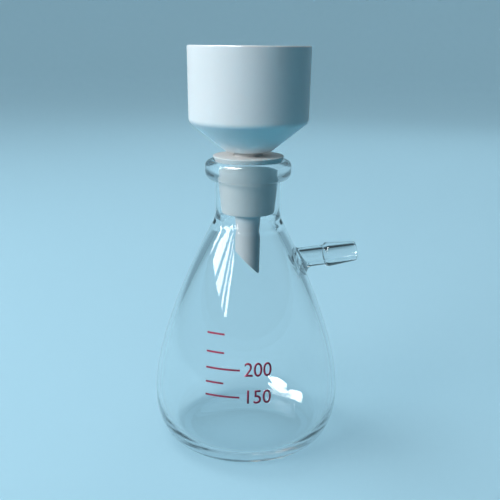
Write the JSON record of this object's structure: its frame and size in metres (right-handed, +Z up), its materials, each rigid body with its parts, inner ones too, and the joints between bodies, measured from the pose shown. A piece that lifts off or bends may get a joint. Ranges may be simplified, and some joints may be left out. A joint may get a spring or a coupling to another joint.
{
  "type": "vacuum filtration unit",
  "caption": "Conical glass filter flask with a hose nozzle on its side, a bored rubber stopper in its neck, and a plastic funnel with a perforated plate standing in the stopper.",
  "frame": {"origin": "the centre of the flask's flat foot ring, on the surface that it stands on", "axes": "+Z up along the common axis of flask, stopper and funnel; +X towards the side tube, which rises 6 degrees above level"},
  "size_m": [0.0932, 0.085, 0.1785],
  "materials": {
    "flask_glass": "clear blown borosilicate glass, fire-polished lip",
    "stopper_rubber": "off-white moulded rubber, satin",
    "funnel_plastic": "white moulded plastic, satin"
  },
  "bodies": {
    "root": {"filter_flask": "flask_glass", "rubber_stopper": "stopper_rubber", "filter_funnel": "funnel_plastic"}
  },
  "joints": []
}
